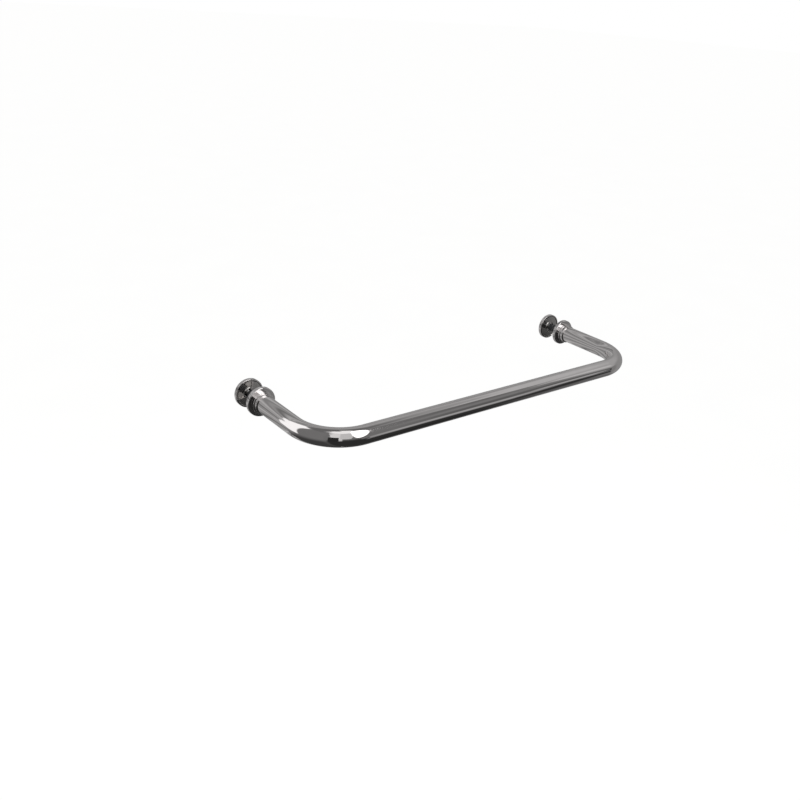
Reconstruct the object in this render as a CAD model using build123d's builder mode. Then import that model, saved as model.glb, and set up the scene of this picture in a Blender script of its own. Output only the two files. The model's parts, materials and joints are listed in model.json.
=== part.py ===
from build123d import *
from math import radians, sqrt, tan
import os

os.makedirs("parts", exist_ok=True)

# Bent towel bar whose two ends clamp onto a pair of parallel round tubes.
# All lengths are in millimetres and all angles in degrees.
# X runs along the bar, Y from the bar towards the wall, and Z up.
# The origin is midway between the two clamps, in the plane of the held
# tubes' axes, at the middle of the gap between the two tubes.

# The two tubes that the clamps hold
held_tube_diameter = 22.0
held_tube_pitch = 38.0

# Bent bar: its reach is measured from the front of the held tubes
bar_diameter = 20.0
bar_wall = 1.2
bar_end_round = 0.3
bar_reach = 120.0
arm_spacing = 450.0
bend_radius = 50.0

# Protective pads: each laps over both tubes and sits in a recess of its disc
pad_lap = 6.3
pad_thickness = 1.8
pad_recess = 0.8
pad_bore_room = 1.9
pad_edge_round = 0.3

# Jaw discs
disc_rim = 1.7
disc_thickness = 4.6
disc_edge_round = 1.1
disc_seat_chamfer = 0.4

# Stepped rings between the bar and the front disc, each a step wider
flange_step = 1.3
flange_thickness = 4.0
collar_step = 1.0
collar_thickness = 4.0
ring_edge_round = 1.0

# Threaded insert in the end of the bar
spigot_length = 16.0
spigot_chamfer = 0.6
pilot_wall = 3.0
pilot_seat_depth = 2.4
pilot_chamfer = 0.4

# Hexagon screw
screw_diameter = 6.0
screw_engagement = 17.9
screw_tip_chamfer = 0.7
head_sides = 6
head_overhang = 2.0
head_height = 4.0
head_bevel_angle = 30.0
head_bevel_share = 0.95

# Washers and sleeve on the screw
washer_width = 2.7
washer_thickness = 1.6
washer_edge_chamfer = 0.25
spring_washer_width = 2.3
spring_washer_thickness = 1.6
spring_washer_gap = 1.0
spring_washer_slant = 22.0
sleeve_wall = 1.3

# How far the jaws can close from where they grip the tubes
closing_travel = 3.0

# Clearances
running_clearance = 0.05
seat_clearance = 0.1
depth_clearance = 0.2
hole_clearance = 0.3

# Widths, worked out from what each piece fits
bar_bore = bar_diameter - 2 * bar_wall
spigot_diameter = bar_bore - 2 * seat_clearance
flange_diameter = bar_diameter + 2 * flange_step
collar_diameter = flange_diameter + 2 * collar_step
screw_hole_diameter = screw_diameter + 2 * hole_clearance
thread_hole_diameter = screw_diameter + 2 * running_clearance
head_across_flats = screw_diameter + 2 * head_overhang
washer_diameter = screw_hole_diameter + 2 * washer_width
spring_washer_diameter = screw_hole_diameter + 2 * spring_washer_width
sleeve_diameter = screw_hole_diameter + 2 * sleeve_wall
pilot_diameter = screw_diameter + 2 * pilot_wall
pilot_hole_diameter = pilot_diameter + 2 * seat_clearance
held_gap = held_tube_pitch - held_tube_diameter
pad_diameter = held_gap + 2 * pad_lap
pad_bore = sleeve_diameter + 2 * pad_bore_room
pad_recess_diameter = pad_diameter + 2 * seat_clearance
disc_diameter = pad_diameter + 2 * disc_rim
arm_offset = arm_spacing / 2

# Places along Y, worked out from the held tubes outward.
# A pad's rim touches the tube beside it, and the disc's face stands back from it.
held_tube_radius = held_tube_diameter / 2
pad_face = sqrt(held_tube_radius ** 2 - (held_tube_radius - pad_lap) ** 2)
pad_seat = pad_face + pad_thickness
disc_face = pad_seat - pad_recess
disc_back = disc_face + disc_thickness
collar_front = disc_back + collar_thickness
bar_end = collar_front + flange_thickness
bar_axis = held_tube_radius + bar_reach
washer_back = disc_back + washer_thickness
head_seat = washer_back + spring_washer_thickness

# Lengths, worked out from where each piece starts and ends
pilot_length = collar_thickness + pilot_seat_depth - depth_clearance
pilot_end = collar_front - pilot_length
screw_length = head_seat + pilot_end + screw_engagement
sleeve_length = 2 * pad_seat - closing_travel - depth_clearance

# Directions along Y: the bar is in front, the wall is behind
FRONT = -1
BACK = 1


def facing(x, y, direction):
    """A plane square to Y through a point of a clamp's axis, facing front or back."""
    return Plane(origin=(x, y, 0), x_dir=(1, 0, 0), z_dir=(0, direction, 0))


def outer_edges(part, direction):
    """The outer edge of a turned part at its front or its back end."""
    ends = part.edges().filter_by(GeomType.CIRCLE).group_by(Axis.Y)
    end = ends[-1] if direction == BACK else ends[0]
    return end.sort_by(SortBy.RADIUS)[-1]


def save(part, name):
    """Label a finished piece and write it under its own name."""
    part.label = name
    export_step(part, f"parts/{name}.step")


def make_bar_tube():
    """The bent tube: two arms, two bends and the straight bar."""
    with BuildPart() as bar_tube:
        with BuildLine() as bar_path:
            FilletPolyline(
                (-arm_offset, -bar_end),
                (-arm_offset, -bar_axis),
                (arm_offset, -bar_axis),
                (arm_offset, -bar_end),
                radius=bend_radius,
            )
        with BuildSketch(facing(-arm_offset, -bar_end, FRONT)):
            Circle(bar_diameter / 2)
            Circle(bar_bore / 2, mode=Mode.SUBTRACT)
        sweep(path=bar_path.wires()[0])
        end_edges = bar_tube.edges().filter_by(GeomType.CIRCLE).group_by(Axis.Y)[-1]
        rims = end_edges.group_by(SortBy.RADIUS)[-1]
        fillet(rims, radius=bar_end_round)
    save(bar_tube.part, "bar_tube")


def make_bar_insert(side, x):
    """The turned insert: a spigot in the bar, a flange and a pilot."""
    with BuildPart() as bar_insert:
        with BuildSketch(facing(x, -collar_front, FRONT)):
            Circle(flange_diameter / 2)
        extrude(amount=flange_thickness)
        fillet(outer_edges(bar_insert, FRONT), radius=ring_edge_round)
        fillet(outer_edges(bar_insert, BACK), radius=ring_edge_round)
        with BuildSketch(facing(x, -bar_end, FRONT)):
            Circle(spigot_diameter / 2)
        extrude(amount=spigot_length)
        chamfer(outer_edges(bar_insert, FRONT), length=spigot_chamfer)
        with BuildSketch(facing(x, -collar_front, BACK)):
            Circle(pilot_diameter / 2)
        extrude(amount=pilot_length)
        chamfer(outer_edges(bar_insert, BACK), length=pilot_chamfer)
        with Locations(facing(x, -collar_front, BACK)):
            Hole(thread_hole_diameter / 2)
    save(bar_insert.part, f"{side}_bar_insert")


def make_collar_ring(side, x):
    """The larger of the two stepped rings, held between flange and disc."""
    with BuildPart() as collar_ring:
        with BuildSketch(facing(x, -disc_back, FRONT)):
            Circle(collar_diameter / 2)
        extrude(amount=collar_thickness)
        fillet(outer_edges(collar_ring, FRONT), radius=ring_edge_round)
        with Locations(facing(x, -disc_back, BACK)):
            Hole(pilot_hole_diameter / 2)
    save(collar_ring.part, f"{side}_collar_ring")


def make_front_disc(side, x):
    """The jaw in front of the held tubes, with the seat of the insert's pilot."""
    with BuildPart() as front_disc:
        with BuildSketch(facing(x, -disc_face, FRONT)):
            Circle(disc_diameter / 2)
        extrude(amount=disc_thickness)
        fillet(outer_edges(front_disc, FRONT), radius=disc_edge_round)
        chamfer(outer_edges(front_disc, BACK), length=disc_seat_chamfer)
        with BuildSketch(facing(x, -disc_face, FRONT)):
            Circle(pad_recess_diameter / 2)
        extrude(amount=pad_recess, mode=Mode.SUBTRACT)
        with Locations(facing(x, -disc_back, FRONT)):
            CounterBoreHole(
                radius=screw_hole_diameter / 2,
                counter_bore_radius=pilot_hole_diameter / 2,
                counter_bore_depth=pilot_seat_depth,
            )
    save(front_disc.part, f"{side}_front_disc")


def make_rear_disc(side, x):
    """The loose jaw behind the held tubes, drawn forward by the screw."""
    with BuildPart() as rear_disc:
        with BuildSketch(facing(x, disc_face, BACK)):
            Circle(disc_diameter / 2)
        extrude(amount=disc_thickness)
        fillet(outer_edges(rear_disc, BACK), radius=disc_edge_round)
        chamfer(outer_edges(rear_disc, FRONT), length=disc_seat_chamfer)
        with BuildSketch(facing(x, disc_face, BACK)):
            Circle(pad_recess_diameter / 2)
        extrude(amount=pad_recess, mode=Mode.SUBTRACT)
        with Locations(facing(x, disc_back, BACK)):
            Hole(screw_hole_diameter / 2)
    save(rear_disc.part, f"{side}_rear_disc")


def make_pad(side, place, x, direction):
    """A soft ring between a jaw disc and the held tubes."""
    with BuildPart() as pad:
        with BuildSketch(facing(x, direction * pad_seat, -direction)):
            Circle(pad_diameter / 2)
        extrude(amount=pad_thickness)
        fillet(outer_edges(pad, -direction), radius=pad_edge_round)
        with Locations(facing(x, direction * pad_seat, direction)):
            Hole(pad_bore / 2)
    save(pad.part, f"{side}_{place}_pad")


def make_screw_sleeve(side, x):
    """The black sleeve that keeps the screw off the held tubes."""
    with BuildPart() as screw_sleeve:
        with BuildSketch(facing(x, -pad_seat, BACK)):
            Circle(sleeve_diameter / 2)
            Circle(screw_hole_diameter / 2, mode=Mode.SUBTRACT)
        extrude(amount=sleeve_length)
    save(screw_sleeve.part, f"{side}_screw_sleeve")


def make_washer(side, x):
    """The flat washer on the back of the rear disc."""
    with BuildPart() as washer:
        with BuildSketch(facing(x, disc_back, BACK)):
            Circle(washer_diameter / 2)
            Circle(screw_hole_diameter / 2, mode=Mode.SUBTRACT)
        extrude(amount=washer_thickness)
        chamfer(outer_edges(washer, BACK), length=washer_edge_chamfer)
    save(washer.part, f"{side}_washer")


def make_spring_washer(side, x):
    """The split spring washer under the screw's head, drawn flat as when tight."""
    slot_radius = (screw_hole_diameter + spring_washer_width) / 2
    slot_middle = washer_back + spring_washer_thickness / 2
    with BuildPart() as spring_washer:
        with BuildSketch(facing(x, washer_back, BACK)):
            Circle(spring_washer_diameter / 2)
            Circle(screw_hole_diameter / 2, mode=Mode.SUBTRACT)
        extrude(amount=spring_washer_thickness)
        with Locations(Location((x, slot_middle, slot_radius), (0, 0, spring_washer_slant))):
            Box(
                spring_washer_gap,
                2 * spring_washer_thickness,
                2 * spring_washer_width,
                mode=Mode.SUBTRACT,
            )
    save(spring_washer.part, f"{side}_spring_washer")


def make_clamp_screw(side, x):
    """The hexagon screw that draws the two jaws together."""
    head_back = head_seat + head_height
    bevel_start = head_bevel_share * head_across_flats / 2
    bevel_reach = head_across_flats
    bevel_drop = (bevel_reach - bevel_start) * tan(radians(head_bevel_angle))
    with BuildPart() as clamp_screw:
        with BuildSketch(facing(x, head_seat, BACK)):
            RegularPolygon(head_across_flats / 2, head_sides, major_radius=False)
        extrude(amount=head_height)
        with BuildSketch(Plane(origin=(x, head_back, 0))):
            with BuildLine():
                Polyline(
                    (bevel_start, 0),
                    (bevel_reach, 0),
                    (bevel_reach, -bevel_drop),
                    close=True,
                )
            make_face()
        revolve(axis=Axis((x, 0, 0), (0, 1, 0)), mode=Mode.SUBTRACT)
        with BuildSketch(facing(x, head_seat, FRONT)):
            Circle(screw_diameter / 2)
        extrude(amount=screw_length)
        chamfer(outer_edges(clamp_screw, FRONT), length=screw_tip_chamfer)
    save(clamp_screw.part, f"{side}_clamp_screw")


make_bar_tube()
for side, x in (("left", -arm_offset), ("right", arm_offset)):
    make_bar_insert(side, x)
    make_collar_ring(side, x)
    make_front_disc(side, x)
    make_pad(side, "front", x, FRONT)
    make_screw_sleeve(side, x)
    make_pad(side, "rear", x, BACK)
    make_rear_disc(side, x)
    make_washer(side, x)
    make_spring_washer(side, x)
    make_clamp_screw(side, x)
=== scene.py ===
"""Looks of the bent towel bar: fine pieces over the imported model, their finishes, camera and light.

Lengths are in metres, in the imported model's frame: X along the bar, Y towards the wall, Z up.
"""

import json
from math import atan2, cos, floor, pi, radians, sin, tan

import bpy
from mathutils import Matrix, Vector

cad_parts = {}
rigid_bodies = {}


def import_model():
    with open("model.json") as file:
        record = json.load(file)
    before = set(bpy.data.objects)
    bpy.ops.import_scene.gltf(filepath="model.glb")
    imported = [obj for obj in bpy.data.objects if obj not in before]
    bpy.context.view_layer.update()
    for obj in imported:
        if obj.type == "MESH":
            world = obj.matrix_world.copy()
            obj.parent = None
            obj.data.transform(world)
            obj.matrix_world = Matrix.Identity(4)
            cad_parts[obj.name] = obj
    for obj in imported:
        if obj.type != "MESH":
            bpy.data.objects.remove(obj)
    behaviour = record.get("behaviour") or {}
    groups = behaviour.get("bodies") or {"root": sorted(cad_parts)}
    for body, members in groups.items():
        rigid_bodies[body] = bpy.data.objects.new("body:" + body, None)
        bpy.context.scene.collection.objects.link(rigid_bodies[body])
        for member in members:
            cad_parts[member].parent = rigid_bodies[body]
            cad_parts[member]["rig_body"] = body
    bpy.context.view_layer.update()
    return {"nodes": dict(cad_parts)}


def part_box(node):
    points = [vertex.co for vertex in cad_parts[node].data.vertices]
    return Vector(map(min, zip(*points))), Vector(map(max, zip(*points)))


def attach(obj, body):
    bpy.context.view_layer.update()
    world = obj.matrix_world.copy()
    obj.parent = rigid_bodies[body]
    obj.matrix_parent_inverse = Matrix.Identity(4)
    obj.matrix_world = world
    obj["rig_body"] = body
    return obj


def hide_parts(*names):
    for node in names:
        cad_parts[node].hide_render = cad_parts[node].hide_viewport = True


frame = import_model()

MM = 0.001
SIDES = ("left", "right")

# Sizes inside the pieces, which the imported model's boxes don't show
BAR_WALL = 1.2 * MM
BEND_RADIUS = 50 * MM
SCREW_ROOM = 0.3 * MM
THREAD_ROOM = 0.05 * MM
SEAT_ROOM = 0.1 * MM
PAD_BOND = 0.04 * MM
PILOT_SEAT_DEPTH = 2.4 * MM
PILOT_RADIUS = 6 * MM
SPIGOT_RADIUS = 8.7 * MM
SPIGOT_TAPER = 0.6 * MM
PAD_BORE = 6.5 * MM
SPLIT_GAP = 1.0 * MM
SPLIT_SLANT = radians(22)
SCREW_RADIUS = 3 * MM
SCREW_BORE = SCREW_RADIUS + SCREW_ROOM
SCREW_PITCH = 1.0 * MM
THREAD_DEPTH = 0.58 * MM
TIP_TAPER = 0.7 * MM
HEAD_BEVEL = radians(30)
HEAD_BEVEL_SHARE = 0.95
HEAD_DISH_SHARE = 0.35
HEAD_SIDES = 6

# How each edge is broken
FLANGE_ROUND = 0.35 * MM
COLLAR_ROUND = 0.4 * MM
DISC_ROUND = 1.1 * MM
SEAT_ROUND = 0.4 * MM
END_ROUND = 0.3 * MM
FINE_ROUND = 0.2 * MM
EDGE_BREAK = 0.12 * MM

# How finely the meshes are drawn
CORNER_STEPS = 7
TURN_STEPS = 168
BAR_STEPS = 160
ARM_PARTS = 4
BEND_STEPS = 80
STRAIGHT_PARTS = 24
SCREW_STEPS = 48
BEVEL_STEPS = 2
SHARP_FROM = radians(32)


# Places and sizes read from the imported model


def along_y(node):
    """The front and the back of a node."""
    low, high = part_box(node)
    return low.y, high.y


def radius_of(node):
    """Half the height of a node that is turned about a clamp's axis."""
    low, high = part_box(node)
    return (high.z - low.z) / 2


def middle_x(node):
    """Where a node's axis stands along X."""
    low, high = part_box(node)
    return (low.x + high.x) / 2


def body_of(node):
    """The name of the body that a node rides on."""
    return frame["nodes"][node]["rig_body"]


# Mesh tools


def rounded(corners):
    """Points and outward normals of a closed section.

    Each corner is (radius, distance, rounding), and the solid lies to the left of the way round.
    """
    rows = []
    for i, (radius, distance, rounding) in enumerate(corners):
        here = Vector((radius, distance))
        arriving = (here - Vector(corners[i - 1][:2])).normalized()
        leaving = (Vector(corners[(i + 1) % len(corners)][:2]) - here).normalized()
        turn = atan2(arriving.x * leaving.y - arriving.y * leaving.x, arriving.dot(leaving))
        bulge = rounding if turn > 0 else -rounding
        first = Vector((arriving.y, -arriving.x))
        centre = here - arriving * rounding * tan(abs(turn) / 2) - first * bulge
        for k in range(CORNER_STEPS + 1):
            angle = turn * k / CORNER_STEPS
            normal = Vector((
                first.x * cos(angle) - first.y * sin(angle),
                first.x * sin(angle) + first.y * cos(angle),
            ))
            rows.append((centre + normal * bulge, normal))
    return rows


def ring_section(bore, outside, front, back, roundings):
    """Corners of a plain ring, whose roundings go round from the front of its bore to the back of it."""
    spots = ((bore, front), (outside, front), (outside, back), (bore, back))
    return [(*spot, rounding) for spot, rounding in zip(spots, roundings)]


def refined(rows, stations):
    """The section with points added at the given distances on its long straight sides."""
    result = []
    for (here, normal), (after, _) in zip(rows, rows[1:] + rows[:1]):
        result.append((here, normal))
        low, high = sorted((here.y, after.y))
        between = [s for s in stations if low + MM < s < high - MM]
        if after.y < here.y:
            between.reverse()
        result += [(Vector((here.x, s)), normal) for s in between]
    return result


def carried(rows, steps, carry):
    """Vertices, normals and faces of a closed section carried round a line.

    carry(distance) gives the point of the line there, its direction, and two directions square to it.
    """
    vertices, normals, faces = [], [], []
    for point, normal in rows:
        origin, ahead, side, up = carry(point.y)
        for j in range(steps):
            angle = 2 * pi * j / steps
            outward = side * cos(angle) + up * sin(angle)
            vertices.append(origin + outward * point.x)
            normals.append(outward * normal.x + ahead * normal.y)
    for i in range(len(rows)):
        near, far = i * steps, (i + 1) % len(rows) * steps
        for j in range(steps):
            k = (j + 1) % steps
            faces.append((near + j, far + j, far + k, near + k))
    return vertices, normals, faces


def along_clamp(distance):
    """The line that a clamp's pieces are turned about."""
    return Vector((0, distance, 0)), Vector((0, 1, 0)), Vector((1, 0, 0)), Vector((0, 0, 1))


def add_piece(node, vertices, normals, faces, material, slot, centre=(0, 0, 0)):
    """A shown piece that stands for a node and rides where the node rides.

    Without normals it is shaded by its faces alone.
    """
    mesh = bpy.data.meshes.new(f"{node}_fine")
    mesh.from_pydata(vertices, [], faces)
    mesh.polygons.foreach_set("use_smooth", [True] * len(faces))
    if normals:
        mesh.normals_split_custom_set_from_vertices([n.normalized() for n in normals])
    piece = bpy.data.objects.new(f"{node}_fine", mesh)
    bpy.context.scene.collection.objects.link(piece)
    piece.location = centre
    mesh.materials.append(material)
    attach(piece, body_of(node))
    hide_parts(node)
    return piece


def turned(node, corners, material, slot, x):
    """A piece turned about a clamp's axis."""
    parts = carried(rounded(corners), TURN_STEPS, along_clamp)
    return add_piece(node, *parts, material, slot, centre=(x, 0, 0))


# Shader tools


class Nodes:
    """Short calls for wiring a material."""

    def __init__(self, tree):
        self.tree = tree
        tree.nodes.clear()

    def add(self, kind, settings=None, **inputs):
        """A node with its settings, and its inputs given as values or as other nodes' outputs."""
        node = self.tree.nodes.new(kind)
        for name, value in (settings or {}).items():
            setattr(node, name, value)
        for name, value in inputs.items():
            self.link(node, name.replace("_", " "), value)
        return node

    def link(self, node, name, value):
        """Sets one input, given by name or by place."""
        socket = node.inputs[name]
        if isinstance(value, bpy.types.NodeSocket):
            self.tree.links.new(value, socket)
        else:
            socket.default_value = value

    def math(self, operation, first, second=0.0):
        node = self.add("ShaderNodeMath", {"operation": operation})
        self.link(node, 0, first)
        self.link(node, 1, second)
        return node.outputs[0]

    def place(self):
        """Where a point lies on its own piece, in metres."""
        return self.add("ShaderNodeTexCoord").outputs["Object"]

    def noise(self, vector, scale, detail, roughness=0.5):
        node = self.add("ShaderNodeTexNoise", Vector=vector, Scale=scale, Detail=detail, Roughness=roughness)
        return node.outputs["Fac"]

    def ramp(self, factor, stops):
        """Colours at shares of a factor, as (share, colour) pairs."""
        node = self.add("ShaderNodeValToRGB", Fac=factor)
        elements = node.color_ramp.elements
        while len(elements) < len(stops):
            elements.new(0.5)
        for element, (share, colour) in zip(elements, stops):
            element.position = share
            element.color = (*colour, 1)
        return node.outputs["Color"]

    def spread(self, factor, low, high, start=0.0, stop=1.0):
        """A factor between start and stop, mapped to low and high."""
        node = self.add(
            "ShaderNodeMapRange", Value=factor, From_Min=start, From_Max=stop, To_Min=low, To_Max=high,
        )
        return node.outputs["Result"]

    def stretched(self, vector, scale):
        node = self.add("ShaderNodeMapping", {"vector_type": "POINT"}, Vector=vector, Scale=scale)
        return node.outputs["Vector"]

    def bump(self, height, distance, under=None):
        """A surface normal from a height, over another one where that is given."""
        node = self.add("ShaderNodeBump", Height=height, Distance=distance, Strength=1.0)
        if under is not None:
            self.link(node, "Normal", under)
        return node.outputs["Normal"]


def new_material(name):
    material = bpy.data.materials.new(name)
    material.use_nodes = True
    return material, Nodes(material.node_tree)


def finish_material(nodes, **inputs):
    """The closing shader, with its values set on its own sockets."""
    shader = nodes.add("ShaderNodeBsdfPrincipled", **inputs)
    nodes.add("ShaderNodeOutputMaterial", Surface=shader.outputs[0])


def round_the_axis(nodes, place):
    """Distance from the clamp's axis and distance along it, as a vector that turning marks follow."""
    split = nodes.add("ShaderNodeSeparateXYZ", Vector=place)
    across = nodes.math("MULTIPLY", split.outputs["X"], split.outputs["X"])
    upright = nodes.math("MULTIPLY", split.outputs["Z"], split.outputs["Z"])
    radius = nodes.math("SQRT", nodes.math("ADD", across, upright))
    joined = nodes.add("ShaderNodeCombineXYZ", X=radius, Y=split.outputs["Y"])
    return joined.outputs[0]


def chrome(name, dark, light, turned_marks):
    """Bright chrome plate: a nearly perfect mirror with faint polishing lines, haze and water marks."""
    material, nodes = new_material(name)
    place = nodes.place()
    if turned_marks:
        lines = nodes.noise(round_the_axis(nodes, place), scale=5200, detail=2)
    else:
        lines = nodes.noise(nodes.stretched(place, (0.06, 0.35, 1.0)), scale=4200, detail=2)
    haze = nodes.noise(place, scale=55, detail=5, roughness=0.6)
    marks = nodes.noise(place, scale=210, detail=2, roughness=0.4)
    drops = nodes.spread(marks, low=0.0, high=0.035, start=0.66, stop=0.76)
    hazed = nodes.spread(haze, low=0.035, high=0.075, start=0.3, stop=0.75)
    roughness = nodes.math("ADD", hazed, drops)
    lined = nodes.spread(lines, low=-0.012, high=0.014, start=0.3, stop=0.7)
    roughness = nodes.math("ADD", roughness, lined)
    colour = nodes.ramp(haze, ((0.3, dark), (0.7, light)))
    waves = nodes.noise(place, scale=42, detail=1)
    surface = nodes.bump(waves, distance=0.06 * MM)
    surface = nodes.bump(lines, distance=0.0012 * MM, under=surface)
    finish_material(nodes, Base_Color=colour, Metallic=1.0, Roughness=roughness, Normal=surface)
    return material


def zinc_plate(name):
    """Satin zinc plate with turning marks, pale blue and straw patches, and dulled spots."""
    material, nodes = new_material(name)
    place = nodes.place()
    marks = nodes.noise(round_the_axis(nodes, place), scale=3000, detail=3, roughness=0.7)
    patches = nodes.noise(place, scale=260, detail=4, roughness=0.6)
    grain = nodes.noise(place, scale=3800, detail=2)
    colour = nodes.ramp(patches, (
        (0.3, (0.50, 0.53, 0.57)),
        (0.48, (0.62, 0.62, 0.60)),
        (0.62, (0.66, 0.63, 0.55)),
        (0.8, (0.58, 0.58, 0.57)),
    ))
    dulled = nodes.spread(patches, low=0.24, high=0.42, start=0.3, stop=0.75)
    roughness = nodes.math("ADD", dulled, nodes.spread(grain, low=-0.05, high=0.05))
    surface = nodes.bump(marks, distance=0.012 * MM)
    surface = nodes.bump(grain, distance=0.006 * MM, under=surface)
    finish_material(nodes, Base_Color=colour, Metallic=1.0, Roughness=roughness, Normal=surface)
    return material


def soft_plastic(name):
    """Clear soft plastic of the pads, faintly clouded, with a fine moulded grain."""
    material, nodes = new_material(name)
    place = nodes.place()
    cloud = nodes.noise(place, scale=300, detail=3)
    grain = nodes.noise(place, scale=2600, detail=2)
    colour = nodes.ramp(cloud, ((0.3, (0.80, 0.80, 0.78)), (0.7, (0.90, 0.90, 0.89))))
    roughness = nodes.spread(grain, low=0.02, high=0.05, start=0.3, stop=0.7)
    finish_material(
        nodes,
        Base_Color=colour,
        Roughness=roughness,
        Normal=nodes.bump(grain, distance=0.002 * MM),
        Transmission_Weight=1.0,
        IOR=1.42,
    )
    return material


def black_plastic(name):
    """Matte black plastic tube with drawing lines along it and a dusty grain."""
    material, nodes = new_material(name)
    place = nodes.place()
    dust = nodes.noise(place, scale=420, detail=4, roughness=0.65)
    lines = nodes.noise(nodes.stretched(place, (1.0, 0.03, 1.0)), scale=2600, detail=2)
    colour = nodes.ramp(dust, ((0.35, (0.022, 0.022, 0.024)), (0.75, (0.045, 0.045, 0.047))))
    roughness = nodes.spread(dust, low=0.42, high=0.62, start=0.3, stop=0.7)
    surface = nodes.bump(lines, distance=0.02 * MM)
    finish_material(nodes, Base_Color=colour, Roughness=roughness, Normal=surface)
    return material


tube_chrome = chrome(
    "tube_chrome", dark=(0.78, 0.755, 0.75), light=(0.828, 0.80, 0.795), turned_marks=False,
)
fitting_chrome = chrome(
    "fitting_chrome", dark=(0.76, 0.735, 0.73), light=(0.807, 0.78, 0.775), turned_marks=True,
)
zinc = zinc_plate("satin_zinc")
pad_material = soft_plastic("clear_soft_plastic")
sleeve_material = black_plastic("matte_black_plastic")


# The bent bar

bar_radius = radius_of("bar_tube")
bar_low, bar_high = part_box("bar_tube")
arm_x = bar_high.x - bar_radius
bar_y = bar_low.y + bar_radius
bar_end_y = bar_high.y
arm_length = bar_end_y - (bar_y + BEND_RADIUS)
bend_length = BEND_RADIUS * pi / 2
straight_length = 2 * (arm_x - BEND_RADIUS)
bar_length = 2 * arm_length + 2 * bend_length + straight_length


def along_bar(distance):
    """The bar's centre line, from the left arm's end round to the right arm's end."""
    mirror = distance > bar_length / 2
    s = bar_length - distance if mirror else distance
    bend = min(max((s - arm_length) / BEND_RADIUS, 0), pi / 2)
    x = -arm_x + BEND_RADIUS * (1 - cos(bend)) + max(s - arm_length - bend_length, 0)
    y = bar_end_y - min(s, arm_length) - BEND_RADIUS * sin(bend)
    ahead = Vector((sin(bend), -cos(bend), 0))
    side = Vector((-cos(bend), -sin(bend), 0))
    up = Vector((0, 0, 1))
    if mirror:
        return Vector((-x, y, 0)), Vector((ahead.x, -ahead.y, 0)), Vector((-side.x, side.y, 0)), up
    return Vector((x, y, 0)), ahead, side, up


def make_bar():
    """The tube with its open bore, its rings standing closest together in the bends."""
    bends = [arm_length + bend_length * k / BEND_STEPS for k in range(BEND_STEPS + 1)]
    arms = [arm_length * k / ARM_PARTS for k in range(1, ARM_PARTS)]
    bend_end = arm_length + bend_length
    straight = [bend_end + straight_length * k / STRAIGHT_PARTS for k in range(1, STRAIGHT_PARTS)]
    stations = arms + bends + straight + [bar_length - s for s in reversed(arms + bends)]
    bore = bar_radius - BAR_WALL
    corners = [
        (bar_radius, 0, END_ROUND),
        (bar_radius, bar_length, END_ROUND),
        (bore, bar_length, END_ROUND),
        (bore, 0, END_ROUND),
    ]
    parts = carried(refined(rounded(corners), stations), BAR_STEPS, along_bar)
    add_piece("bar_tube", *parts, tube_chrome, "chrome_tube")


# The turned pieces of a clamp


def make_insert(side, x):
    """The threaded insert: a spigot in the bar, a flange that shows as a ring, and a pilot behind it."""
    node = f"{side}_bar_insert"
    front, back = along_y(node)
    flange_front, flange_back = bar_end_y, along_y(f"{side}_collar_ring")[0]
    flange = radius_of(node)
    bore = SCREW_RADIUS + THREAD_ROOM
    corners = [
        (bore, front, FINE_ROUND),
        (SPIGOT_RADIUS - SPIGOT_TAPER, front, FINE_ROUND),
        (SPIGOT_RADIUS, front + SPIGOT_TAPER, FINE_ROUND),
        (SPIGOT_RADIUS, flange_front, EDGE_BREAK),
        (flange, flange_front, FLANGE_ROUND),
        (flange, flange_back, FLANGE_ROUND),
        (PILOT_RADIUS, flange_back, EDGE_BREAK),
        (PILOT_RADIUS, back, SEAT_ROUND),
        (bore, back, FINE_ROUND),
    ]
    turned(node, corners, fitting_chrome, "chrome_fitting", x)


def make_collar(side, x):
    node = f"{side}_collar_ring"
    front, back = along_y(node)
    roundings = (FINE_ROUND, COLLAR_ROUND, EDGE_BREAK, FINE_ROUND)
    corners = ring_section(PILOT_RADIUS + SEAT_ROOM, radius_of(node), front, back, roundings)
    turned(node, corners, fitting_chrome, "chrome_fitting", x)


def make_front_disc(side, x):
    """The front jaw, with a seat for the pilot in front and a recess for the pad behind."""
    node = f"{side}_front_disc"
    front, back = along_y(node)
    disc, pad = radius_of(node), radius_of(f"{side}_front_pad")
    seat = along_y(f"{side}_front_pad")[0]
    recess, pilot, bore = pad + SEAT_ROOM, PILOT_RADIUS + SEAT_ROOM, SCREW_BORE
    corners = [
        (pilot, front, FINE_ROUND),
        (disc, front, DISC_ROUND),
        (disc, back, SEAT_ROUND),
        (recess, back, FINE_ROUND),
        (recess, seat, EDGE_BREAK),
        (bore, seat, FINE_ROUND),
        (bore, front + PILOT_SEAT_DEPTH, FINE_ROUND),
        (pilot, front + PILOT_SEAT_DEPTH, EDGE_BREAK),
    ]
    turned(node, corners, fitting_chrome, "chrome_fitting", x)


def make_rear_disc(side, x):
    """The rear jaw, with a recess for the pad in front."""
    node = f"{side}_rear_disc"
    front, back = along_y(node)
    disc, pad = radius_of(node), radius_of(f"{side}_rear_pad")
    seat = along_y(f"{side}_rear_pad")[1]
    recess, bore = pad + SEAT_ROOM, SCREW_BORE
    corners = [
        (bore, seat, FINE_ROUND),
        (recess, seat, EDGE_BREAK),
        (recess, front, FINE_ROUND),
        (disc, front, SEAT_ROUND),
        (disc, back, DISC_ROUND),
        (bore, back, FINE_ROUND),
    ]
    turned(node, corners, fitting_chrome, "chrome_fitting", x)


def make_pad(side, place, x):
    """A clear pad, bonded a hair deep into its seat, so that it and the metal don't share a face."""
    node = f"{side}_{place}_pad"
    front, back = along_y(node)
    if place == "front":
        front -= PAD_BOND
    else:
        back += PAD_BOND
    corners = ring_section(PAD_BORE, radius_of(node), front, back, [END_ROUND] * 4)
    turned(node, corners, pad_material, "pad_plastic", x)


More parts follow.
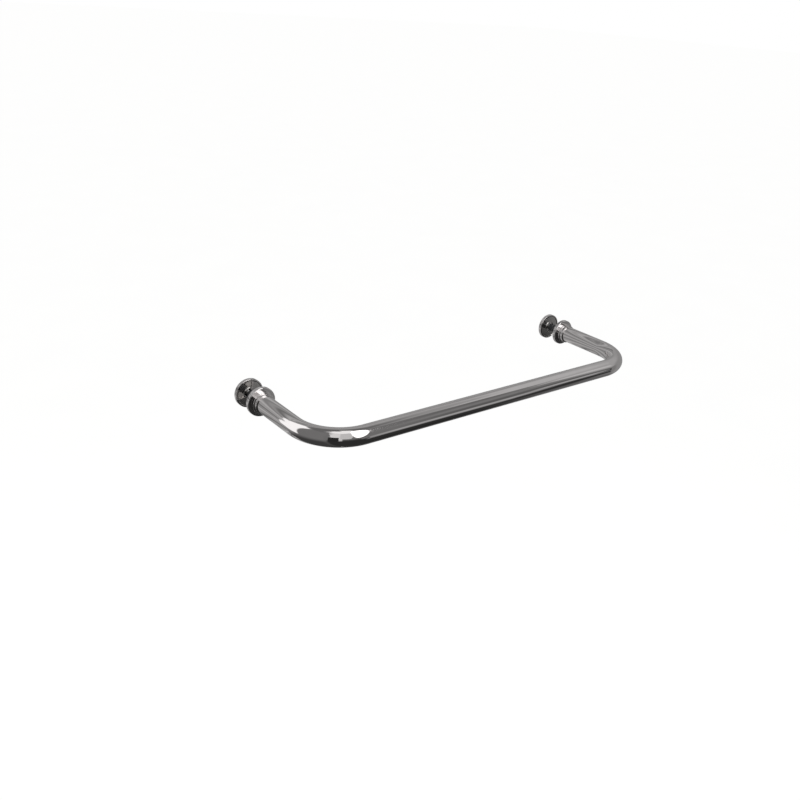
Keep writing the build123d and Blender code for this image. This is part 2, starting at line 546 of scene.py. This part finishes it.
def make_sleeve(side, x):
    node = f"{side}_screw_sleeve"
    front, back = along_y(node)
    corners = ring_section(SCREW_BORE, radius_of(node), front, back, [FINE_ROUND] * 4)
    turned(node, corners, sleeve_material, "black_plastic", x)


def make_washer(side, x):
    node = f"{side}_washer"
    front, back = along_y(node)
    roundings = (EDGE_BREAK, EDGE_BREAK, END_ROUND, FINE_ROUND)
    corners = ring_section(SCREW_BORE, radius_of(node), front, back, roundings)
    turned(node, corners, zinc, "plated_steel", x)


def make_spring_washer(side, x):
    """The split ring: its section is carried round all but the gap, and both ends lean alike."""
    node = f"{side}_spring_washer"
    front, back = along_y(node)
    inner, outer, middle = SCREW_BORE, radius_of(node), (front + back) / 2
    roundings = (EDGE_BREAK, FINE_ROUND, FINE_ROUND, EDGE_BREAK)
    rows = rounded(ring_section(inner, outer, front, back, roundings))
    mean = (inner + outer) / 2
    half_gap = SPLIT_GAP / mean / 2 / cos(SPLIT_SLANT)
    vertices, normals, faces = [], [], []
    for j in range(TURN_STEPS + 1):
        sweep = half_gap + (2 * pi - 2 * half_gap) * j / TURN_STEPS
        for point, normal in rows:
            angle = sweep + (point.y - middle) * tan(SPLIT_SLANT) / mean
            outward = Vector((sin(angle), 0, cos(angle)))
            vertices.append(outward * point.x + Vector((0, point.y, 0)))
            normals.append(outward * normal.x + Vector((0, normal.y, 0)))
    count = len(rows)
    for j in range(TURN_STEPS):
        for i in range(count):
            k = (i + 1) % count
            faces.append((j * count + i, (j + 1) * count + i, (j + 1) * count + k, j * count + k))
    for end, facing in ((0, -1), (TURN_STEPS, 1)):
        ring = vertices[end * count:(end + 1) * count]
        first = len(vertices)
        ahead = (vertices[count] - vertices[0]) if end == 0 else (vertices[-1] - vertices[-1 - count])
        vertices += ring
        normals += [ahead * facing] * count
        cap = range(first, first + count)
        faces.append(tuple(cap) if end == 0 else tuple(reversed(cap)))
    add_piece(node, vertices, normals, faces, zinc, "plated_steel", centre=(x, 0, 0))


# The hexagon screw

# One pitch of the thread as (share of the pitch, share of the depth), and the turns in which it runs out
THREAD_SHARES = ((0, 0), (0.125, 0), (0.28, 0.5), (0.4375, 1), (0.5625, 1), (0.72, 0.5), (0.875, 0))
FADE_TURNS = 1.2


def make_screw(side, x):
    """A threaded shank under a hexagon head, as one closed mesh with a true right-hand thread."""
    node = f"{side}_clamp_screw"
    tip, head_back = along_y(node)
    seat = along_y(f"{side}_spring_washer")[1]
    flats = radius_of(node)
    root = SCREW_RADIUS - THREAD_DEPTH
    thread_start, thread_stop = tip + TIP_TAPER, seat - SCREW_PITCH
    turns = (thread_stop - thread_start) / SCREW_PITCH - 1
    columns = floor(turns * SCREW_STEPS)
    shares = len(THREAD_SHARES)
    vertices, faces = [], []

    def put(radius, y, k):
        angle = 2 * pi * k / SCREW_STEPS
        vertices.append(Vector((radius * sin(angle), y, radius * cos(angle))))
        return len(vertices) - 1

    def ring(radius, y):
        return [put(radius, y, k) for k in range(SCREW_STEPS)]

    def join(lower, upper):
        for k in range(SCREW_STEPS):
            n = (k + 1) % SCREW_STEPS
            faces.append((lower[k], lower[n], upper[n], upper[k]))

    def on_thread(column, share, depth):
        from_end = min(column, columns - column) / SCREW_STEPS
        fade = min(max(from_end / FADE_TURNS, 0), 1)
        y = thread_start + SCREW_PITCH * (column / SCREW_STEPS + share)
        return put(root + THREAD_DEPTH * depth * fade, y, column)

    # The thread is one strip wound round the shank, whose upper edge is its next turn's lower edge
    strip = [[on_thread(c, *s) for s in THREAD_SHARES] for c in range(columns + 1)]
    strip += [[on_thread(c, *THREAD_SHARES[0])] for c in range(columns + 1, columns + SCREW_STEPS + 1)]
    for c in range(columns):
        near = strip[c] + [strip[c + SCREW_STEPS][0]]
        far = strip[c + 1] + [strip[c + 1 + SCREW_STEPS][0]]
        for m in range(shares):
            faces.append((near[m], far[m], far[m + 1], near[m + 1]))

    # Below it, a ring at the tip's taper, closed by the tip
    lower = ring(root, tip + TIP_TAPER / 2)
    for k in range(SCREW_STEPS - 1):
        faces.append((lower[k], lower[k + 1], strip[k + 1][0], strip[k][0]))
    faces.append((lower[-1], lower[0], *strip[0], strip[SCREW_STEPS][0], strip[SCREW_STEPS - 1][0]))
    tip_ring = ring(root - TIP_TAPER / 2, tip)
    join(tip_ring, lower)
    faces.append(tuple(reversed(tip_ring)))

    # Above it, the neck and the head
    neck = ring(root, seat - SCREW_PITCH / 4)
    last = columns % SCREW_STEPS
    top = [strip[columns + j][0] for j in range(SCREW_STEPS + 1)]
    at = [neck[(last + j) % SCREW_STEPS] for j in range(SCREW_STEPS + 1)]
    faces.append((top[0], top[1], at[1], at[0], top[-1], *reversed(strip[columns][1:])))
    for j in range(1, SCREW_STEPS):
        faces.append((top[j], top[j + 1], at[j + 1], at[j]))
    collar = ring(SCREW_RADIUS, seat)
    join(neck, collar)
    corner_steps = SCREW_STEPS // HEAD_SIDES

    def hexagon(k):
        """The head's radius, with flats above and below and corners to the left and right."""
        offset = (k + corner_steps // 2) % corner_steps - corner_steps / 2
        return flats / cos(2 * pi * offset / SCREW_STEPS)

    bevel_radius = HEAD_BEVEL_SHARE * flats
    under = [put(hexagon(k), seat, k) for k in range(SCREW_STEPS)]
    shoulder = [
        put(hexagon(k), head_back - (hexagon(k) - bevel_radius) * tan(HEAD_BEVEL), k)
        for k in range(SCREW_STEPS)
    ]
    crown = ring(bevel_radius, head_back)
    dish = ring(bevel_radius * HEAD_DISH_SHARE, head_back)
    for lower_ring, upper_ring in ((collar, under), (under, shoulder), (shoulder, crown), (crown, dish)):
        join(lower_ring, upper_ring)
    faces.append(tuple(dish))
    screw = add_piece(node, vertices, None, faces, zinc, "plated_steel", centre=(x, 0, 0))
    mesh = screw.data
    mesh.set_sharp_from_angle(angle=SHARP_FROM)

    # The head's corners and rims are broken by a small bevel
    rims = set()
    for row in (under, shoulder, crown):
        rims |= {frozenset((row[k], row[(k + 1) % SCREW_STEPS])) for k in range(SCREW_STEPS)}
    rims |= {
        frozenset((under[k], shoulder[k])) for k in range(corner_steps // 2, SCREW_STEPS, corner_steps)
    }
    weights = mesh.attributes.new("bevel_weight_edge", "FLOAT", "EDGE")
    weights.data.foreach_set("value", [float(frozenset(e.vertices) in rims) for e in mesh.edges])
    bevel = screw.modifiers.new("broken_edges", "BEVEL")
    bevel.limit_method = "WEIGHT"
    bevel.width = EDGE_BREAK
    bevel.segments = BEVEL_STEPS
    bevel.harden_normals = True


make_bar()
for side in SIDES:
    clamp_x = middle_x(f"{side}_clamp_screw")
    make_insert(side, clamp_x)
    make_collar(side, clamp_x)
    make_front_disc(side, clamp_x)
    make_pad(side, "front", clamp_x)
    make_sleeve(side, clamp_x)
    make_pad(side, "rear", clamp_x)
    make_rear_disc(side, clamp_x)
    make_washer(side, clamp_x)
    make_spring_washer(side, clamp_x)
    make_screw(side, clamp_x)


# The camera, fitted to the outline of the bar in the photograph of 800 by 800 pixels

PHOTO_WIDTH = 800
FOCAL_PIXELS = 918.1
OPTICAL_AXIS_PIXEL = (423.4, 371.2)
CAMERA_PLACE = Vector((-0.64935, -0.78870, 0.40254))
CAMERA_AZIMUTH = radians(-39.584)
CAMERA_ELEVATION = radians(22.301)
CAMERA_ROLL = radians(4.068)
CAMERA_CLIP = (0.01, 100)


def make_camera():
    data = bpy.data.cameras.new("camera")
    camera = bpy.data.objects.new("camera", data)
    bpy.context.scene.collection.objects.link(camera)
    data.lens = FOCAL_PIXELS / PHOTO_WIDTH * data.sensor_width
    middle = (PHOTO_WIDTH - 1) / 2
    data.shift_x = (middle - OPTICAL_AXIS_PIXEL[0]) / PHOTO_WIDTH
    data.shift_y = (OPTICAL_AXIS_PIXEL[1] - middle) / PHOTO_WIDTH
    data.clip_start, data.clip_end = CAMERA_CLIP
    level = Matrix.Rotation(CAMERA_AZIMUTH, 4, "Z") @ Matrix.Rotation(pi / 2 - CAMERA_ELEVATION, 4, "X")
    camera.matrix_world = Matrix.Translation(CAMERA_PLACE) @ level @ Matrix.Rotation(CAMERA_ROLL, 4, "Z")
    bpy.context.scene.camera = camera


# The studio: a white surround, a pale floor, two softboxes, and thin glowing cards seen only in reflections,
# which paint reflections onto the chrome.
# Azimuth 0 is in front of the bar, 90 at its right end and -90 at its left end, in degrees.

OBJECT_MIDDLE = Vector((0, -0.06, 0))
FLOOR_HEIGHT = -1.6
FLOOR_HALF = 60.0
FLOOR_COLOUR = (0.85, 0.85, 0.845)
FLOOR_MOTTLE = 1.01
FLOOR_LIFT = 0.35
AMBIENT = 0.75
SURROUND = 1.0
WHITE = (1, 1, 1, 1)

# Name, shape, azimuth and elevation of the middle, width, height and tilt in degrees, distance, brightness
SOFTBOXES = (
    ("key_softbox", "ELLIPSE", 11, 43, 30, 76, -16, 1.18, 1.3),
    ("fill_softbox", "RECTANGLE", -30, 33, 37, 58, 0, 1.21, 0.42),
)

# A tent of glowing cards, seen only in reflections, stands round the object; its brightness is painted
# reflection, the light and dark bands and highlights on the chrome. Each card is laid over those before it:
# name, azimuth from and to, elevation from and to, width of its soft edge, azimuth that it leans per degree
# up, brightness.
# Where the tent is as bright as the surround it is open, and the surround itself shows.
TENT_RADIUS = 1.5
TENT_STEP = 1
TENT_AZIMUTHS = (-180, 180)
TENT_ELEVATIONS = (-89, 89)
TENT_GREY = 0.30
OPENING_SLACK = 0.02
TENT_CARDS = (
    ("left_wall", -115, -50, -100, 85, 4, 0, 0.185),
    ("front_wall", -60, 57, -100, 100, 5, 0, 0.175),
    ("right_wall", 44, 200, 10, 100, 6, 0.33, 0.40),
    ("right_wall_bright", 60, 112, 38, 51, 7, 0, 0.50),
    ("right_wall_foot", 47, 200, -38, 12, 6, 0, 0.22),
    ("right_wall_end", 70, 200, -46, 20, 14, 0, 0.29),
    ("right_wall_top", 62, 200, 52, 100, 6, 0, 0.33),
    ("right_wall_line", 122, 142, 24, 42, 8, 0, 0.25),
    ("front_wall_line", 40, 58, 35, 46, 6, 0, 0.15),
    ("front_wall_middle", 30, 50, 17, 31, 8, 0, 0.21),
    ("front_wall_low", 31, 50, -14, 13, 8, 0, 0.12),
    ("fill_backing", -52, -33, 4, 74, 2, 0, 0.36),
    ("roof_edge", -190, 190, 60, 100, 8, 0, 0.15),
    ("roof_opening_front", -66, 24, 62, 100, 3, 0, SURROUND),
    ("roof_opening_middle", -90, 58, 70, 100, 8, 0, SURROUND),
    ("roof_opening_top", -120, 165, 80, 100, 4, 0, SURROUND),
    ("left_wall_foot", -135, -50, -100, -22, 34, 0, 0.05),
    ("back_wall_foot", -200, -105, -100, -36, 12, 0, 0.05),
    ("right_floor_edge", 52, 200, -100, -34, 10, 0, 0.12),
    ("right_floor_end", 92, 200, -100, -34, 16, 0, 0.20),
    ("front_floor_edge", -54, 6, -30, -5, 5, 0, 0.06),
    ("front_gap", -36, -29, -16, 6, 3, 0, 0.6),
    ("floor_left", -54, 24, -100, -15, 8, 0, 0.028),
    ("floor_middle", 18, 48, -100, -26, 5, 0, 0.028),
    ("floor_right_near", 45, 58, -100, -14, 6, 0, 0.028),
    ("floor_right", 50, 63, -100, -30, 8, 0, 0.04),
    ("floor_right_far", 50, 88, -100, -45, 8, 0, 0.02),
    ("floor_end", 88, 200, -100, -47, 10, 0, 0.065),
    ("right_streak", 51, 62, 20, 31, 4, 0, 0.55),
    ("light_strip_left", 25, 44, -20, -6, 7, 0, 0.4),
    ("light_strip_right", 42, 52, -9, 1, 4, 0, 0.42),
    ("right_gap", 49.3, 54, -11, 4, 2, 0, 0.03),
    # Painted lighter patches on the faces of the clamps' discs
    ("left_disc_light", -5.4, 1.5, -27.5, -21, 1.5, -1, 0.22),
    ("right_disc_light", 38.6, 46, -17.8, -11, 1.5, -1, 0.22),
    ("left_glow", -141, -106, -10, 58, 4, -0.2, 1.15),
)

# A dark card in front of the tent, below the camera, that paints a dark reflection into the chrome: azimuth
# from and to, elevation from and to
CAMERA_CARD = (-54, -37, -19, 19)
CAMERA_CARD_STEPS = (12, 12)
CAMERA_CARD_DISTANCE = 1.1
CAMERA_CARD_BRIGHTNESS = 0.025

# A grey card close behind the clamps, seen only in reflections, whose glow is painted reflection: place, left
# and right edge, bottom and top, and its mesh
BACK_CARD_Y = 0.06
BACK_CARD_X = (-0.336, 0.36)
BACK_CARD_Z = (-0.26, 0.22)
BACK_CARD_STEPS = (4, 240)

# Its left edge leans inward above this height
CUT_CORNER_FROM = 0.05
CUT_CORNER_SLOPE = 0.9

# Its soft level bands, painted light and dark reflections, each as depth, pitch and the height of a crest
BAND_GREY = 0.33
PAINTED_REFLECTION_BANDS = (
    (0.1, 0.086, 0.053),
    (0.075, 0.03, 0.0),
)


def towards(azimuth, elevation):
    """Unit vector at an azimuth and elevation in degrees, from the object."""
    a, e = radians(azimuth), radians(elevation)
    return Vector((sin(a) * cos(e), -cos(a) * cos(e), sin(e)))


def make_softbox(name, shape, azimuth, elevation, across, upright, tilt, distance, brightness):
    """An area lamp, which the chrome shows on top of what stands behind it.

    A rectangle shows there at its brightness, and an ellipse at 4 / pi times that.
    """
    width, height = (2 * distance * tan(radians(span / 2)) for span in (across, upright))
    lamp = bpy.data.lights.new(name, "AREA")
    lamp.shape = shape
    lamp.size, lamp.size_y = width, height
    lamp.energy = brightness * pi * width * height
    softbox = bpy.data.objects.new(name, lamp)
    bpy.context.scene.collection.objects.link(softbox)
    away = towards(azimuth, elevation)
    facing = away.to_track_quat("Z", "Y").to_matrix().to_4x4() @ Matrix.Rotation(radians(tilt), 4, "Z")
    softbox.matrix_world = Matrix.Translation(OBJECT_MIDDLE + away * distance) @ facing
    softbox.visible_camera = False


def card_material():
    """Glows as brightly as each vertex of its mesh says, a painted reflection, since the cards show only in
    reflections.
    """
    material, nodes = new_material("painted_reflection_glow")
    brightness = nodes.add("ShaderNodeAttribute", {"attribute_name": "brightness"}).outputs["Fac"]
    glow = nodes.add("ShaderNodeEmission", Color=WHITE, Strength=brightness)
    nodes.add("ShaderNodeOutputMaterial", Surface=glow.outputs[0])
    return material


def make_card(name, across, upright, steps, place, brightness_at, material):
    """A thin glowing card that shows only in reflections and through clear plastic, as a painted reflection.

    across and upright are (from, to) in the two coordinates that place and brightness_at take.
    """
    columns, rows = steps
    grid = [
        (across[0] + (across[1] - across[0]) * i / columns, upright[0] + (upright[1] - upright[0]) * j / rows)
        for j in range(rows + 1)
        for i in range(columns + 1)
    ]
    brightness = [brightness_at(*spot) for spot in grid]
    faces = []
    for j in range(rows):
        for i in range(columns):
            k = j * (columns + 1) + i
            face = (k, k + 1, k + columns + 2, k + columns + 1)
            if max(abs(brightness[v] - SURROUND) for v in face) > OPENING_SLACK:
                faces.append(face)
    mesh = bpy.data.meshes.new(name)
    mesh.from_pydata([place(*spot) for spot in grid], [], faces)
    mesh.attributes.new("brightness", "FLOAT", "POINT").data.foreach_set("value", brightness)
    mesh.materials.append(material)
    card = bpy.data.objects.new(name, mesh)
    bpy.context.scene.collection.objects.link(card)
    card.visible_camera = card.visible_diffuse = card.visible_shadow = False


def soft_step(value):
    """0 to 1 with soft ends, as a value goes from 0 to 1."""
    value = min(max(value, 0), 1)
    return value * value * (3 - 2 * value)


def within(value, low, high, edge):
    """1 inside the limits and 0 outside them, across a soft edge."""
    return soft_step((value - low) / edge + 0.5) * soft_step((high - value) / edge + 0.5)


def tent_brightness(azimuth, elevation):
    """How bright the tent's painted reflection is in one direction."""
    brightness = TENT_GREY
    for _, west, east, bottom, top, edge, lean, level in TENT_CARDS:
        share = within(azimuth - lean * elevation, west, east, edge) * within(elevation, bottom, top, edge)
        brightness += (level - brightness) * share
    return brightness


def back_card_place(share, height):
    """A spot on the back card, at a share of its width there and at a height."""
    left = BACK_CARD_X[0] + CUT_CORNER_SLOPE * max(height - CUT_CORNER_FROM, 0)
    return Vector((left + (BACK_CARD_X[1] - left) * share, BACK_CARD_Y, height))


def back_card_brightness(_, height):
    """The grey of the back card with its painted reflection bands, at a height."""
    return BAND_GREY + sum(depth * cos(2 * pi * (height - crest) / pitch) for depth, pitch, crest in PAINTED_REFLECTION_BANDS)


def make_cards():
    material = card_material()
    make_card(
        "painted_reflection_tent",
        TENT_AZIMUTHS,
        TENT_ELEVATIONS,
        [(spans[1] - spans[0]) // TENT_STEP for spans in (TENT_AZIMUTHS, TENT_ELEVATIONS)],
        lambda a, e: OBJECT_MIDDLE + towards(a, e) * TENT_RADIUS,
        tent_brightness,
        material,
    )
    make_card(
        "camera_dark_reflection_card",
        CAMERA_CARD[:2],
        CAMERA_CARD[2:],
        CAMERA_CARD_STEPS,
        lambda a, e: OBJECT_MIDDLE + towards(a, e) * CAMERA_CARD_DISTANCE,
        lambda a, e: CAMERA_CARD_BRIGHTNESS,
        material,
    )
    make_card(
        "back_card",
        (0, 1),
        BACK_CARD_Z,
        BACK_CARD_STEPS,
        back_card_place,
        back_card_brightness,
        material,
    )


def shown_directly(nodes):
    """1 for rays from the camera, and for those that metal and glass send on."""
    path = nodes.add("ShaderNodeLightPath").outputs
    direct = nodes.math("MAXIMUM", path["Is Camera Ray"], path["Is Glossy Ray"])
    return nodes.math("MAXIMUM", direct, path["Is Transmission Ray"])


def make_floor():
    """A wide pale floor that keeps the object's shadow."""
    mesh = bpy.data.meshes.new("floor")
    signs = ((-1, -1), (1, -1), (1, 1), (-1, 1))
    corners = [(FLOOR_HALF * x, FLOOR_HALF * y, FLOOR_HEIGHT) for x, y in signs]
    mesh.from_pydata(corners, [], [(0, 1, 2, 3)])
    plane = bpy.data.objects.new("floor", mesh)
    bpy.context.scene.collection.objects.link(plane)
    material, nodes = new_material("pale_floor")
    place = nodes.place()
    mottle = nodes.noise(place, scale=3, detail=4)
    lighter = tuple(FLOOR_MOTTLE * c for c in FLOOR_COLOUR)
    colour = nodes.ramp(mottle, ((0.3, FLOOR_COLOUR), (0.7, lighter)))
    matte = nodes.add("ShaderNodeBsdfDiffuse", Color=colour)
    lift = nodes.add("ShaderNodeEmission", Color=WHITE)
    nodes.link(lift, "Strength", nodes.math("MULTIPLY", shown_directly(nodes), FLOOR_LIFT))
    both = nodes.add("ShaderNodeAddShader")
    nodes.link(both, 0, matte.outputs[0])
    nodes.link(both, 1, lift.outputs[0])
    nodes.add("ShaderNodeOutputMaterial", Surface=both.outputs[0])
    mesh.materials.append(material)


def make_world():
    """White where it is seen, and an even soft light elsewhere."""
    world = bpy.data.worlds.new("white_surround")
    bpy.context.scene.world = world
    world.use_nodes = True
    nodes = Nodes(world.node_tree)
    strength = nodes.spread(shown_directly(nodes), low=AMBIENT, high=SURROUND)
    background = nodes.add("ShaderNodeBackground", Color=WHITE, Strength=strength)
    nodes.add("ShaderNodeOutputWorld", Surface=background.outputs[0])


make_camera()
make_world()
make_floor()
for softbox in SOFTBOXES:
    make_softbox(*softbox)
make_cards()
bpy.context.scene.view_settings.view_transform = "Standard"
